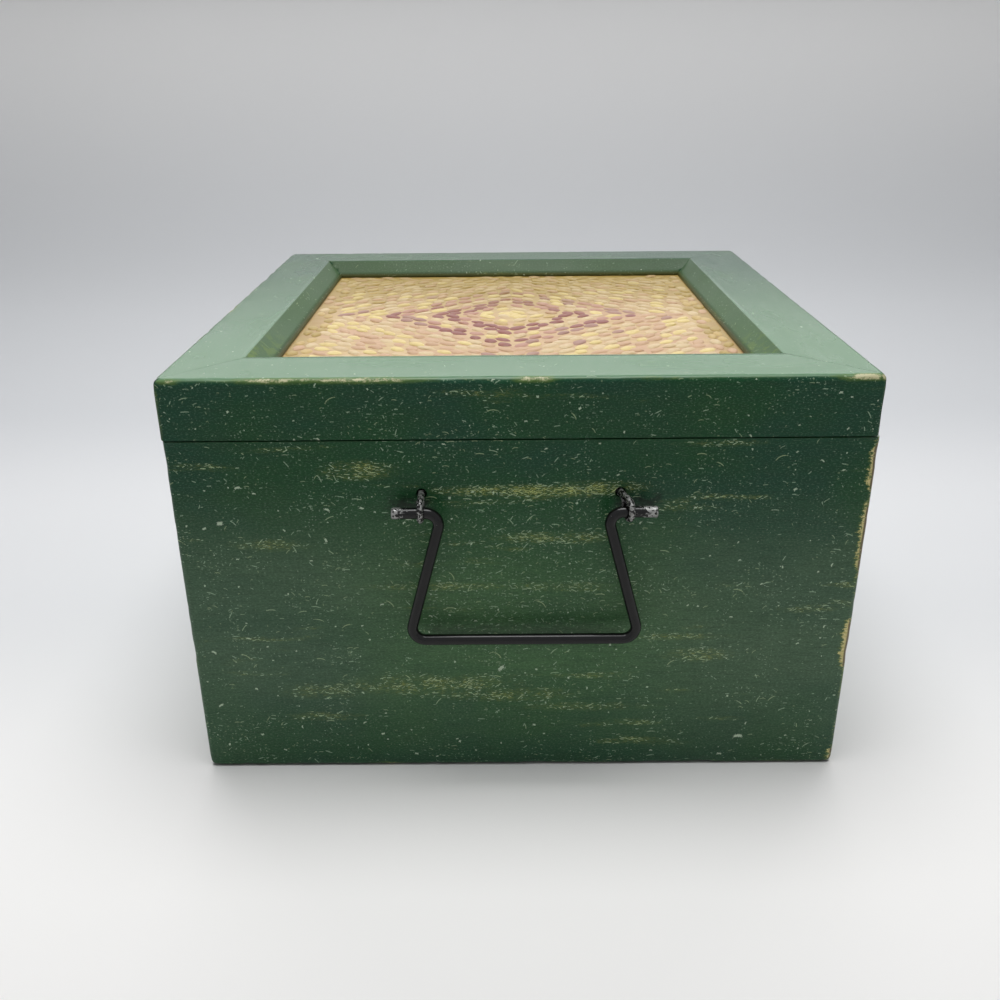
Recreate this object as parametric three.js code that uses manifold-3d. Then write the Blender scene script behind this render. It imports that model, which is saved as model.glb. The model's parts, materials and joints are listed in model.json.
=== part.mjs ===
import * as THREE from "three";
import { RoundedBoxGeometry } from "three/addons/geometries/RoundedBoxGeometry.js";
import { mergeVertices } from "three/addons/utils/BufferGeometryUtils.js";
import Module from "manifold-3d";

// A square keepsake box. Its body is five glued and nailed boards, its hinged lid is a mitred frame
// of bevelled moulding round a picture board, and a wire drop handle hangs on each of two ends.
// Millimetres, +Z up, standing on Z = 0. The front end is at -Y, and the lid hinges along +X.

// Body
const boxWidth = 215; // from the side the lid opens at to the hinge side
const boxLength = 214; // from the front end to the rear end
const bodyHeight = 119.4;
const wallThickness = 12;
const cornerRebate = 6; // how deep each side wall is let into the ends
const edgeRound = 1.8; // sanded outer edges
const glueLine = 0.1; // between two boards that are glued or nailed together
const floorThickness = 5;
const floorLap = 6; // how far the floor board is let into the walls

// Lid
const lidSeam = 0.4; // between the body and the lid
const lidShift = 0.4; // how far the lid sits off the body, away from the hinge side
const lidHeight = 19;
const railFlat = 23.1; // flat top of the moulding, about the same on all four sides
const openingShift = 1.4; // of the lid's opening from its middle, away from the hinge side
const openingSetback = 1.3; // and away from the front
const bevelRun = 6.4;
const bevelDrop = 5.6;
const lipThickness = 0.8; // upright edge below the bevel, over the picture board's edge
const rabbetWidth = 7;
const pictureThickness = 4;
const backingThickness = 3.2;

// Brads: some hold the floor board up, and some lie over the backing board as in a picture frame
const bradRadius = 0.6;
const bradHeadFlare = 0.6; // how much wider than the shank a head's radius is
const bradHeadThickness = 0.5;
const bradPoint = 1.6;
const bradClearance = 0.1;
const floorBradBite = 9; // how deep a floor brad goes into a wall
const floorBradReach = 46; // from the middle of a wall to its brads
const backingBradBite = 5;
const backingBradOverhang = 5.5; // how far a backing brad stands out of the rabbet
const backingBradReach = 42;

// Wire drop handle
const wireRadius = 1.75;
const handleShift = 1; // of the handle's middle from the end's middle
const pivotBelowRim = 20.7; // from the body's upper edge down to the pivot axis
const pivotStandOff = 6.6; // from the end wall's face to the pivot axis
const handleDrop = 44.2; // from the pivot axis to the middle of the bar
const shoulderReach = 24.8; // from the handle's middle to the corner of tip and leg
const legSplay = 11.8; // how much further out the bar's corners are
const shoulderBend = 3.9; // radius at the middle of the wire
const barBend = 4.2;
const tipLength = 8.8; // from the middle of a pin to the wire's end

// Split pins, bent from half-round wire, that carry the handle
const pinRadius = 1.05;
const pinLegGap = 0.5; // between the flat faces of the two legs
const pinHoleClearance = 0.35;
const pinBesideBend = 1.4; // from where a shoulder bend begins to the pin's middle
const leftPinLean = 0; // how far a pin leans outwards from its hole, in degrees
const rightPinLean = 15;
const eyeSlack = 1.2; // how much wider than the handle's wire an eye's inner radius is
const eyeSeat = 0.3; // from the handle's wire down to the eye that it hangs in
const eyeNeck = 2; // radius where the lower leg turns into the eye
const clinchBend = 1.85; // radius where a leg turns over inside the box
const clinchLength = 6;
const clinchGap = 0.3;

// Butt hinges
const hingeLength = 28;
const hingeFromEnd = 44; // from the box's end to the middle of a hinge
const leafThickness = 1;
const leafReach = 9; // from the hinge side's face into the seam
const hingePinRadius = 1.1;
const hingePinHeadFlare = 0.5;
const hingePinHeadLength = 0.7;
const hingePinClearance = 0.05;
const knuckleWall = 1.15;
const knuckleGap = 0.3;
const barrelGap = 0.2; // from the hinge side's face to the barrel
const mortiseClearance = 0.15;

// Countersunk screws, two to a leaf
const screwLength = 10;
const screwRadius = 1.05;
const screwTipRadius = 0.3;
const screwTaper = 3;
const screwHeadFlare = 1.05;
const screwHeadDepth = 0.8;
const screwSink = 0.1; // how far a head lies below the leaf's face
const screwClearance = 0.1;
const slotWidth = 0.5;
const slotDepth = 0.4;
const screwSpread = 15; // between the two screws of one leaf
const screwInset = 4.8; // from the hinge side's face

// How finely round pieces are cut, and how far a cutter runs past what it cuts
const wireSides = 14;
const halfRoundSides = 7;
const turnSteps = 12; // pieces in half a turn of bent wire
const barrelSides = 20;
const screwSides = 12;
const bradSides = 8;
const edgeSteps = 3;
const overrun = 1;

// Colours and finishes
const greenPaint = { color: 0x3a5a41, roughness: 0.5, metalness: 0 };
const picturePaint = { color: 0xcdb487, roughness: 0.6, metalness: 0 };
const bareBoard = { color: 0xa98a5e, roughness: 0.8, metalness: 0 };
const blackIron = { color: 0x1c1b1b, roughness: 0.4, metalness: 0.7 };
const agedBrass = { color: 0x9c7c42, roughness: 0.4, metalness: 0.9 };
const brightSteel = { color: 0x9a9a98, roughness: 0.35, metalness: 0.9 };

// Places worked out from the sizes above
const lidBottom = bodyHeight + lidSeam;
const totalHeight = lidBottom + lidHeight;
const rabbetTop = lidHeight - bevelDrop - lipThickness; // above the lid's underside
const pictureBottom = lidBottom + rabbetTop - glueLine - pictureThickness;
const backingBottom = pictureBottom - glueLine - backingThickness;
const backingBradHeight = backingBottom - glueLine - bradRadius - bradHeadFlare;
const floorLip = wallThickness - floorLap; // wall left outside the floor board
const pivotHeight = bodyHeight - pivotBelowRim;
const floorBradLength = floorThickness + glueLine + floorBradBite;
const barrelRadius = hingePinRadius + hingePinClearance + knuckleWall;
const hingeAxisX = boxWidth / 2 + barrelGap + barrelRadius;
const hingeAxisZ = bodyHeight + lidSeam / 2;
const hingeAxisY = boxLength / 2 - hingeFromEnd;
const eyeRadius = wireRadius + eyeSlack; // inside the eye
const eyeRise = eyeSlack - eyeSeat; // of the eye's middle above the pivot axis
const pinHoleRise = eyeRise + eyeRadius - pinLegGap / 2;

const railFlats = {
  front: railFlat + openingSetback,
  right: railFlat + openingShift,
  rear: railFlat - openingSetback,
  left: railFlat - openingShift,
};

// How far a side of the lid's opening, and of its rabbet, lies from the box's face.
const openingInset = (side) => railFlats[side] + bevelRun;
const rabbetInset = (side) => openingInset(side) - rabbetWidth;

const wasm = await Module();
wasm.setup();

// A closed geometry as a solid that can be cut and joined.
function solid(geometry) {
  const bare = new THREE.BufferGeometry();
  bare.setAttribute("position", geometry.getAttribute("position"));
  bare.setIndex(geometry.getIndex());
  const merged = mergeVertices(bare);
  return new wasm.Manifold(
    new wasm.Mesh({
      numProp: 3,
      vertProperties: new Float32Array(merged.getAttribute("position").array),
      triVerts: new Uint32Array(merged.getIndex().array),
    }),
  );
}

// A cut or joined solid as a geometry with flat faces.
function faceted(manifold) {
  const { vertProperties, triVerts } = manifold.getMesh();
  const indexed = new THREE.BufferGeometry();
  indexed.setAttribute("position", new THREE.BufferAttribute(new Float32Array(vertProperties), 3));
  indexed.setIndex(new THREE.BufferAttribute(new Uint32Array(triVerts), 1));
  const flat = indexed.toNonIndexed();
  flat.computeVertexNormals();
  return flat;
}

function cut(body, cutters) {
  return cutters.reduce((rest, cutter) => rest.subtract(solid(cutter)), solid(body));
}

function named(name, geometry, finish) {
  const mesh = new THREE.Mesh(geometry, new THREE.MeshStandardMaterial(finish));
  mesh.name = name;
  return mesh;
}

// A block from its lowest to its highest corner.
function block(low, high) {
  const size = high.map((value, axis) => value - low[axis]);
  const middle = high.map((value, axis) => (value + low[axis]) / 2);
  return new THREE.BoxGeometry(...size).translate(...middle);
}

// A flat outline of [x, y] points, raised from one height to another.
function slab(outline, low, high) {
  const shape = new THREE.Shape(outline.map(([x, y]) => new THREE.Vector2(x, y)));
  return new THREE.ExtrudeGeometry(shape, { depth: high - low, bevelEnabled: false }).translate(0, 0, low);
}

// A piece turned about Z from [radius, height] points that start and end on the axis.
function turned(profile, sides) {
  const points = profile.map(([radius, height]) => new THREE.Vector2(radius, height));
  return new THREE.LatheGeometry(points, sides).rotateX(Math.PI / 2);
}

// A rod about Z from one height to another.
function rod(radius, low, high, sides) {
  return turned([[0, low], [radius, low], [radius, high], [0, high]], sides);
}

// The closed box as one block with sanded edges, which trims every board that shows outside.
function sanded() {
  const block = new RoundedBoxGeometry(boxWidth, boxLength, totalHeight, edgeSteps, edgeRound);
  return solid(block.translate(0, 0, totalHeight / 2));
}

// Wire bent flat on a bench, x along it and y across it. It is fed straight or turned round a peg,
// step by step. A turn is in radians and positive to the left.
class BentWire extends THREE.Curve {
  constructor(start, heading, steps) {
    super();
    this.places = [start.clone()];
    this.headings = [heading];
    steps.forEach((step) => (step.feed === undefined ? this.turn(step) : this.feed(step.feed)));
    this.count = this.places.length - 1;
  }

  feed(length) {
    const heading = this.headings.at(-1);
    const along = new THREE.Vector2(Math.cos(heading), Math.sin(heading));
    this.places.push(this.places.at(-1).clone().addScaledVector(along, length));
    this.headings.push(heading);
  }

  turn({ turn, radius }) {
    const start = this.headings.at(-1);
    const side = Math.sign(turn) * radius;
    const left = (heading) => new THREE.Vector2(-Math.sin(heading), Math.cos(heading));
    const peg = this.places.at(-1).clone().addScaledVector(left(start), side);
    const pieces = Math.ceil((Math.abs(turn) / Math.PI) * turnSteps);
    for (let piece = 1; piece <= pieces; piece++) {
      const heading = start + (turn * piece) / pieces;
      this.places.push(peg.clone().addScaledVector(left(heading), -side));
      this.headings.push(heading);
    }
  }

  getPointAt(share) {
    const { x, y } = this.places[Math.round(share * this.count)];
    return new THREE.Vector3(x, y, 0);
  }

  computeFrenetFrames() {
    return {
      tangents: this.headings.map((heading) => new THREE.Vector3(Math.cos(heading), Math.sin(heading), 0)),
      normals: this.headings.map((heading) => new THREE.Vector3(-Math.sin(heading), Math.cos(heading), 0)),
      binormals: this.headings.map(() => new THREE.Vector3(0, 0, 1)),
    };
  }

  // The solid wire, whose section has its x to the left of the path. It stands up from the bench.
  drawn(section) {
    const wire = new THREE.ExtrudeGeometry(section, { steps: this.count, extrudePath: this });
    return wire.rotateX(Math.PI / 2);
  }
}

// A section whose corners lie on a circle, each a given angle on from the last. The first is at the
// bottom and the next ones go to the left of the path.
function arcSection(radius, corners, apart) {
  const points = [];
  for (let corner = 0; corner < corners; corner++) {
    const angle = corner * apart - Math.PI / 2;
    points.push(new THREE.Vector2(Math.cos(angle), Math.sin(angle)).multiplyScalar(radius));
  }
  return new THREE.Shape(points);
}

// Handle

const legSlant = Math.atan2(legSplay, handleDrop);
const cornerTurn = Math.PI / 2 + legSlant;
const shoulderTaken = shoulderBend * Math.tan(cornerTurn / 2); // straight wire that a bend takes up
const barTaken = barBend * Math.tan(cornerTurn / 2);
const pinReach = shoulderReach + shoulderTaken + pinBesideBend; // from the handle's middle

// One wire: tip, leg, bar, leg and tip, hanging from the pivot axis along X.
function handle() {
  const tip = pinReach + tipLength - shoulderReach - shoulderTaken;
  const leg = Math.hypot(legSplay, handleDrop) - shoulderTaken - barTaken;
  const bar = 2 * (shoulderReach + legSplay - barTaken);
  const path = new BentWire(new THREE.Vector2(-pinReach - tipLength, 0), 0, [
    { feed: tip },
    { turn: -cornerTurn, radius: shoulderBend },
    { feed: leg },
    { turn: cornerTurn, radius: barBend },
    { feed: bar },
    { turn: cornerTurn, radius: barBend },
    { feed: leg },
    { turn: -cornerTurn, radius: shoulderBend },
    { feed: tip },
  ]);
  return path.drawn(arcSection(wireRadius, wireSides, (2 * Math.PI) / wireSides));
}

// Each split pin of a handle: its hand, its side of the handle's middle and its lean in radians.
const splitPins = [
  { hand: "left", toward: -1, lean: (-leftPinLean * Math.PI) / 180 },
  { hand: "right", toward: 1, lean: (rightPinLean * Math.PI) / 180 },
];

// Where a pin comes out of the wall, from the end's middle.
const pinHoleReach = ({ toward, lean }) =>
  handleShift + toward * pinReach - pivotStandOff * Math.tan(lean);

// A split pin, from the wall's face: its x runs out of the wall and its height is above the pivot
// axis. The upper leg runs straight into the top of the eye, and the lower leg through a neck. A
// pin that leans is longer, so that its eye and its clinched ends lie as far from the wall.
function splitPin({ lean }) {
  const stretch = 1 / Math.cos(lean);
  const inside = (-wallThickness - clinchGap - pinRadius) * stretch;
  const neckTurn = Math.acos((eyeNeck - eyeRadius + pinLegGap) / (eyeNeck + eyeRadius));
  const leg = pivotStandOff * stretch - inside - clinchBend;
  const neckReach = (eyeNeck + eyeRadius) * Math.sin(neckTurn);
  const top = pinHoleRise + pinLegGap / 2 + clinchBend + clinchLength;
  const path = new BentWire(new THREE.Vector2(inside, top), -Math.PI / 2, [
    { feed: clinchLength },
    { turn: Math.PI / 2, radius: clinchBend },
    { feed: leg },
    { turn: -Math.PI - neckTurn, radius: eyeRadius },
    { turn: neckTurn, radius: eyeNeck },
    { feed: leg - neckReach },
    { turn: Math.PI / 2, radius: clinchBend },
    { feed: clinchLength },
  ]);
  const halfRound = arcSection(pinRadius, halfRoundSides + 1, Math.PI / halfRoundSides);
  return path.drawn(halfRound).rotateZ(-Math.PI / 2);
}

function pinHoles() {
  const radius = pinRadius + pinLegGap / 2 + pinHoleClearance;
  return splitPins.map((pin) => {
    const through = (wallThickness + overrun) / Math.cos(pin.lean);
    return rod(radius, -overrun, through, wireSides)
      .rotateX(-Math.PI / 2)
      .rotateZ(pin.lean)
      .translate(pinHoleReach(pin), -boxLength / 2, pivotHeight + pinHoleRise);
  });
}

// Brads

function brad(length) {
  return turned(
    [
      [0, 0],
      [bradRadius + bradHeadFlare, 0],
      [bradRadius + bradHeadFlare, bradHeadThickness],
      [bradRadius, bradHeadThickness],
      [bradRadius, length - bradPoint],
      [0, length],
    ],
    bradSides,
  );
}

// What a brad of the floor takes out of the boards, from the floor's underside up.
function floorBradHole() {
  const shank = bradRadius + bradClearance;
  const head = shank + bradHeadFlare;
  return turned(
    [
      [0, -overrun],
      [head, -overrun],
      [head, bradHeadThickness + bradClearance],
      [shank, bradHeadThickness + bradClearance],
      [shank, floorBradLength + bradClearance],
      [0, floorBradLength + bradClearance],
    ],
    bradSides,
  );
}

// The brads' places on the floor: [x, y] near the middle line of each wall's rebate.
const floorBradPlaces = [-floorBradReach, floorBradReach].flatMap((reach) => {
  const x = boxWidth / 2 - floorLip - floorLap / 2;
  const y = boxLength / 2 - floorLip - floorLap / 2;
  return [
    [reach, -y],
    [x, reach],
    [reach, y],
    [-x, reach],
  ];
});

function floorBradHoles() {
  return floorBradPlaces.map(([x, y]) => floorBradHole().translate(x, y, 0));
}

// Body boards

function floorRebate() {
  const x = boxWidth / 2 - floorLip;
  const y = boxLength / 2 - floorLip;
  return block([-x, -y, -overrun], [x, y, floorThickness + glueLine]);
}

// The end board at the front. It covers the ends of both side walls.
function endWall() {
  const outer = boxWidth / 2 + overrun;
  const step = boxWidth / 2 - wallThickness - glueLine;
  const face = -boxLength / 2;
  const outline = [
    [-outer, face - overrun],
    [outer, face - overrun],
    [outer, face + wallThickness - cornerRebate],
    [step, face + wallThickness - cornerRebate],
    [step, face + wallThickness],
    [-step, face + wallThickness],
    [-step, face + wallThickness - cornerRebate],
    [-outer, face + wallThickness - cornerRebate],
  ];
  const board = slab(outline, -overrun, bodyHeight);
  return faceted(cut(board, [floorRebate(), ...pinHoles(), ...floorBradHoles()]).intersect(sanded()));
}

// The side board at the hinge side, let into the ends.
function sideWall(hingeCutters) {
  const end = boxLength / 2 - wallThickness + cornerRebate - glueLine;
  const board = block(
    [boxWidth / 2 - wallThickness, -end, -overrun],
    [boxWidth / 2 + overrun, end, bodyHeight],
  );
  return faceted(cut(board, [floorRebate(), ...hingeCutters, ...floorBradHoles()]).intersect(sanded()));
}

function floorBoard() {
  const x = boxWidth / 2 - floorLip - glueLine;
  const y = boxLength / 2 - floorLip - glueLine;
  return faceted(cut(block([-x, -y, 0], [x, y, floorThickness]), floorBradHoles()));
}

// Lid boards

// The sides of the lid in order. A rail is shaped as if it lay at the front, and the side before its
// own then is at its left.
const lidSides = ["front", "right", "rear", "left"];

// One side's rail in a frame of the given width and depth, mitred at both ends.
function rail(side, width, depth, cutters) {
  const place = lidSides.indexOf(side);
  const before = openingInset(lidSides.at(place - 1));
  const after = openingInset(lidSides[(place + 1) % lidSides.length]);
  const flat = railFlats[side];
  const inset = openingInset(side);
  const rabbet = rabbetInset(side);
  const spare = overrun / bevelDrop; // the bevel's line carried on above the top
  const section = [
    [-overrun, 0],
    [rabbet, 0],
    [rabbet, rabbetTop],
    [inset, rabbetTop],
    [inset, lidHeight - bevelDrop],
    [flat - spare * bevelRun, lidHeight + overrun],
    [-overrun, lidHeight + overrun],
  ];
  const moulding = slab(section, -width / 2 - overrun, width / 2 + overrun)
    .rotateX(Math.PI / 2)
    .rotateZ(Math.PI / 2)
    .translate(0, -depth / 2, lidBottom);
  // A mitre runs from the frame's corner to the opening's, here at a given distance from the front.
  const mitre = (neighbour, reach) => width / 2 - glueLine - (neighbour * reach) / inset;
  const near = -overrun;
  const far = inset + overrun;
  const mitred = slab(
    [
      [-mitre(before, near), -depth / 2 + near],
      [mitre(after, near), -depth / 2 + near],
      [mitre(after, far), -depth / 2 + far],
      [-mitre(before, far), -depth / 2 + far],
    ],
    lidBottom - overrun,
    totalHeight + overrun,
  );
  const bradHoles = [-backingBradReach, backingBradReach].map((reach) =>
    rod(bradRadius + bradClearance, -overrun, backingBradBite + bradClearance, bradSides)
      .rotateX(Math.PI / 2)
      .translate(reach, -depth / 2 + rabbet, backingBradHeight),
  );
  return cut(moulding, [...bradHoles, ...cutters]).intersect(solid(mitred));
}

function endRail(side) {
  return faceted(rail(side, boxWidth, boxLength, []).intersect(sanded()));
}

// A rail at the hinge side, or one that is still to be turned round to the other side.
function sideRail(side, hingeCutters) {
  const atFront = hingeCutters.map((cutter) => cutter.rotateZ(-Math.PI / 2));
  const shaped = faceted(rail(side, boxLength, boxWidth, atFront)).rotateZ(Math.PI / 2);
  return faceted(solid(shaped).intersect(sanded()));
}

// A board that fills the lid's rabbet.
function rabbetBoard(bottom, thickness) {
  const reach = (half, side) => half - rabbetInset(side) - glueLine;
  return block(
    [-reach(boxWidth / 2, "left"), -reach(boxLength / 2, "front"), bottom],
    [reach(boxWidth / 2, "right"), reach(boxLength / 2, "rear"), bottom + thickness],
  );
}

// Hinges, each about its own pin at the origin, with the lid's leaf above it

const knuckleCount = 3;
const knuckleLength = (hingeLength - (knuckleCount - 1) * knuckleGap) / knuckleCount;
const screwPlaces = [-screwSpread / 2, screwSpread / 2];
const leafFace = lidSeam / 2; // from the hinge's axis to a leaf's face in the seam
const screwX = -barrelRadius - barrelGap - screwInset;

// A rod along the hinge's axis beside one knuckle.
function knuckle(index, radius, extra) {
  const half = knuckleLength / 2 + extra;
  const middle = (index - (knuckleCount - 1) / 2) * (knuckleLength + knuckleGap);
  return rod(radius, -half, half, barrelSides)
    .rotateX(Math.PI / 2)
    .translate(0, middle, 0);
}

// A screw's outline from the face of its head down, grown by a clearance.
function screwShape(clearance) {
  return [
    [0, -screwLength - clearance],
    [screwTipRadius + clearance, -screwLength - clearance],
    [screwRadius + clearance, -screwLength + screwTaper],
    [screwRadius + clearance, -screwHeadDepth],
    [screwRadius + screwHeadFlare + clearance, 0],
  ];
}

function screw() {
  const head = screwRadius + screwHeadFlare;
  const slot = block([-head - overrun, -slotWidth / 2, -slotDepth], [head + overrun, slotWidth / 2, overrun]);
  return faceted(cut(turned([...screwShape(0), [0, 0]], screwSides), [slot]));
}

// What a screw that points up takes out of a leaf and the wood, from the leaf's face.
function screwHole() {
  const head = screwRadius + screwHeadFlare + screwClearance;
  const hole = turned([...screwShape(screwClearance), [head, overrun], [0, overrun]], screwSides);
  return hole.rotateX(Math.PI).translate(screwX, 0, leafFace + screwSink);
}

// A leaf with its plate above the axis and the knuckles of the given numbers.
function leaf(ownKnuckles) {
  const plate = block(
    [-barrelRadius - barrelGap - leafReach, -hingeLength / 2, leafFace],
    [0, hingeLength / 2, leafFace + leafThickness],
  );
  const barrel = ownKnuckles.map((index) => knuckle(index, barrelRadius, 0));
  const others = [...Array(knuckleCount).keys()].filter((index) => !ownKnuckles.includes(index));
  const gaps = others.map((index) => knuckle(index, barrelRadius + knuckleGap, knuckleGap));
  const pinHole = rod(
    hingePinRadius + hingePinClearance,
    -hingeLength / 2 - overrun,
    hingeLength / 2 + overrun,
    barrelSides,
  ).rotateX(Math.PI / 2);
  const holes = screwPlaces.map((place) => screwHole().translate(0, place, 0));
  const whole = barrel.reduce((rest, piece) => rest.add(solid(piece)), cut(plate, gaps));
  return faceted([pinHole, ...holes].reduce((rest, cutter) => rest.subtract(solid(cutter)), whole));
}

function hingePin() {
  const half = hingeLength / 2 + knuckleGap;
  const head = hingePinRadius + hingePinHeadFlare;
  const profile = [
    [0, -half - hingePinHeadLength],
    [head, -half - hingePinHeadLength],
    [head, -half],
    [hingePinRadius, -half],
    [hingePinRadius, half],
    [head, half],
    [head, half + hingePinHeadLength],
    [0, half + hingePinHeadLength],
  ];
  return turned(profile, barrelSides).rotateX(Math.PI / 2);
}

// What both hinges take out of the board above them: a mortise for each leaf and its screw holes.
function lidHingeCutters() {
  return [-hingeAxisY, hingeAxisY].flatMap((place) => {
    const mortise = block(
      [
        -barrelRadius - barrelGap - leafReach - mortiseClearance,
        -hingeLength / 2 - mortiseClearance,
        -overrun,
      ],
      [overrun, hingeLength / 2 + mortiseClearance, leafFace + leafThickness + mortiseClearance],
    );
    const holes = screwPlaces.map((spot) => screwHole().translate(0, spot, 0));
    return [mortise, ...holes].map((cutter) => cutter.translate(hingeAxisX, place, hingeAxisZ));
  });
}

// The same below them, so turned over about the hinges' axis.
function bodyHingeCutters() {
  return lidHingeCutters().map((cutter) =>
    cutter
      .translate(-hingeAxisX, 0, -hingeAxisZ)
      .rotateX(Math.PI)
      .translate(hingeAxisX, 0, hingeAxisZ),
  );
}

// Assembly

function floorBrads() {
  return floorBradPlaces.map(([x, y], index) => {
    const mesh = named(`floor_brad_${index + 1}`, brad(floorBradLength), brightSteel);
    mesh.position.set(x, y, 0);
    return mesh;
  });
}

// The two brads of one rail, lying over the backing board.
function backingBrads(side, depth) {
  return [-backingBradReach, backingBradReach].map((reach, index) => {
    const length = backingBradOverhang + backingBradBite;
    const mesh = named(`${side}_backing_brad_${index + 1}`, brad(length), brightSteel);
    mesh.rotation.x = Math.PI / 2;
    const tip = rabbetInset(side) + backingBradOverhang;
    mesh.position.set(reach, -depth / 2 + tip, backingBradHeight);
    return mesh;
  });
}

// One end of the body: its wall, its handle and the handle's pins.
function end(side, turn) {
  const group = new THREE.Group();
  const swing = named(`${side}_handle`, handle(), blackIron);
  swing.position.set(handleShift, -boxLength / 2 - pivotStandOff, pivotHeight);
  const pins = splitPins.map((pin) => {
    const mesh = named(`${side}_pin_${pin.hand}`, splitPin(pin), blackIron);
    mesh.position.set(pinHoleReach(pin), -boxLength / 2, pivotHeight);
    mesh.rotation.z = pin.lean;
    return mesh;
  });
  group.add(named(`${side}_wall`, endWall(), greenPaint), swing, ...pins);
  group.rotation.z = turn;
  return group;
}

// One rail of the lid with its brads, made at the front and turned to its side.
function lidSide(side, geometry, depth, turn) {
  const group = new THREE.Group();
  const brads = new THREE.Group().add(...backingBrads(side, depth));
  brads.rotation.z = turn;
  group.add(named(`${side}_rail`, geometry, greenPaint), brads);
  return group;
}

function turnedRound(geometry) {
  return geometry.rotateZ(Math.PI);
}

function hinge(side, y) {
  const group = new THREE.Group();
  const bodyLeaf = named(`${side}_hinge_body_leaf`, leaf([0, 2]), agedBrass);
  bodyLeaf.rotation.x = Math.PI;
  const lidLeaf = named(`${side}_hinge_lid_leaf`, leaf([1]), agedBrass);
  group.add(bodyLeaf, lidLeaf, named(`${side}_hinge_pin`, hingePin(), agedBrass));
  screwPlaces.forEach((place, index) => {
    const down = named(`${side}_hinge_body_screw_${index + 1}`, screw(), agedBrass);
    down.position.set(screwX, place, -leafFace - screwSink);
    const up = named(`${side}_hinge_lid_screw_${index + 1}`, screw(), agedBrass);
    up.rotation.x = Math.PI;
    up.position.set(screwX, place, leafFace + screwSink);
    group.add(down, up);
  });
  group.position.set(hingeAxisX, y, hingeAxisZ);
  return group;
}

const body = new THREE.Group().add(
  end("front", 0),
  end("rear", Math.PI),
  named("left_wall", turnedRound(sideWall([])), greenPaint),
  named("right_wall", sideWall(bodyHingeCutters()), greenPaint),
  named("floor_board", floorBoard(), bareBoard),
  ...floorBrads(),
);

const lid = new THREE.Group().add(
  lidSide("front", endRail("front"), boxLength, 0),
  lidSide("rear", turnedRound(endRail("rear")), boxLength, Math.PI),
  lidSide("left", turnedRound(sideRail("left", [])), boxWidth, -Math.PI / 2),
  lidSide(
    "right",
    sideRail("right", lidHingeCutters().map((cutter) => cutter.translate(lidShift, 0, 0))),
    boxWidth,
    Math.PI / 2,
  ),
  named("picture_board", rabbetBoard(pictureBottom, pictureThickness), picturePaint),
  named("lid_backing", rabbetBoard(backingBottom, backingThickness), bareBoard),
);
lid.position.x = -lidShift;

const group = new THREE.Group().add(body, lid, hinge("front", -hingeAxisY), hinge("rear", hingeAxisY));

export default group;
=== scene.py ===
import json
import math
import random

import bmesh
import bpy
from mathutils import Matrix, Vector, noise

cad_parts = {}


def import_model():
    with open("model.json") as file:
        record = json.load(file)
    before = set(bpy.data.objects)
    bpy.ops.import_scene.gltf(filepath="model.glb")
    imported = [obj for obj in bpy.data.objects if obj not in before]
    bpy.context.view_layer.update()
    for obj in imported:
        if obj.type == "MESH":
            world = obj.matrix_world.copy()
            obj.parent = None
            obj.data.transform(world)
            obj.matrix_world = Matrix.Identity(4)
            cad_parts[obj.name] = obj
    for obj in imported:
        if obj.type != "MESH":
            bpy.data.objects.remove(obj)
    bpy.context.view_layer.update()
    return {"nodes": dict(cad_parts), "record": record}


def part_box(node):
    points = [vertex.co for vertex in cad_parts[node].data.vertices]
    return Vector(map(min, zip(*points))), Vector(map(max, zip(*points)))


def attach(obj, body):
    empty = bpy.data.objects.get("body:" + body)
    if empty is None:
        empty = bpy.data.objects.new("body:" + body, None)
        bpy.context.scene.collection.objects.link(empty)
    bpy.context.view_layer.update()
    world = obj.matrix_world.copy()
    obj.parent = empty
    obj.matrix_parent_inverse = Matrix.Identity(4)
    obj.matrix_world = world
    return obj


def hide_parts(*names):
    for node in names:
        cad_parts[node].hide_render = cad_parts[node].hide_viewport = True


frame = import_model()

MM = 0.001


def srgb(red, green, blue):
    """A colour as a screen shows it, 0 to 255, as the linear colour that Blender works in."""
    def linear(value):
        share = value / 255
        return share / 12.92 if share <= 0.04045 else ((share + 0.055) / 1.055) ** 2.4
    return (linear(red), linear(green), linear(blue), 1)


def linked(name, data):
    """A new object in the scene."""
    obj = bpy.data.objects.new(name, data)
    bpy.context.scene.collection.objects.link(obj)
    return obj


def box(node):
    """A CAD node's lowest and highest corners, in millimetres."""
    low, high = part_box(node)
    return low / MM, high / MM


# Places and sizes in millimetres, read from the frame
WALL_LOW, WALL_HIGH = box("front_wall")
RAIL_LOW, RAIL_HIGH = box("front_rail")
PICTURE_LOW, PICTURE_HIGH = box("picture_board")
HANDLE_LOW, HANDLE_HIGH = box("front_handle")
HALF_WIDTH = WALL_HIGH.x
HALF_LENGTH = box("rear_wall")[1].y
WALL_THICKNESS = WALL_HIGH.y - WALL_LOW.y
BODY_TOP = WALL_HIGH.z
LID_TOP = RAIL_HIGH.z
HANDLE_SHIFT = (HANDLE_LOW.x + HANDLE_HIGH.x) / 2
TIP_REACH = (HANDLE_HIGH.x - HANDLE_LOW.x) / 2
WIRE_RADIUS = (HANDLE_HIGH.y - HANDLE_LOW.y) / 2
PIVOT_STAND_OFF = -HALF_LENGTH - (HANDLE_HIGH.y + HANDLE_LOW.y) / 2
PIVOT_HEIGHT = HANDLE_HIGH.z - WIRE_RADIUS


# Camera

CAMERA_PLACE = Vector((-5.12, -386.16, 221.69)) * MM
CAMERA_PITCH = 0.41118  # downwards, in radians
CAMERA_YAW = -0.00436
CAMERA_ROLL = -0.00891
FOCAL_SHARE = 0.99473  # focal length over image width
SENSOR_WIDTH = 36


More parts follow.
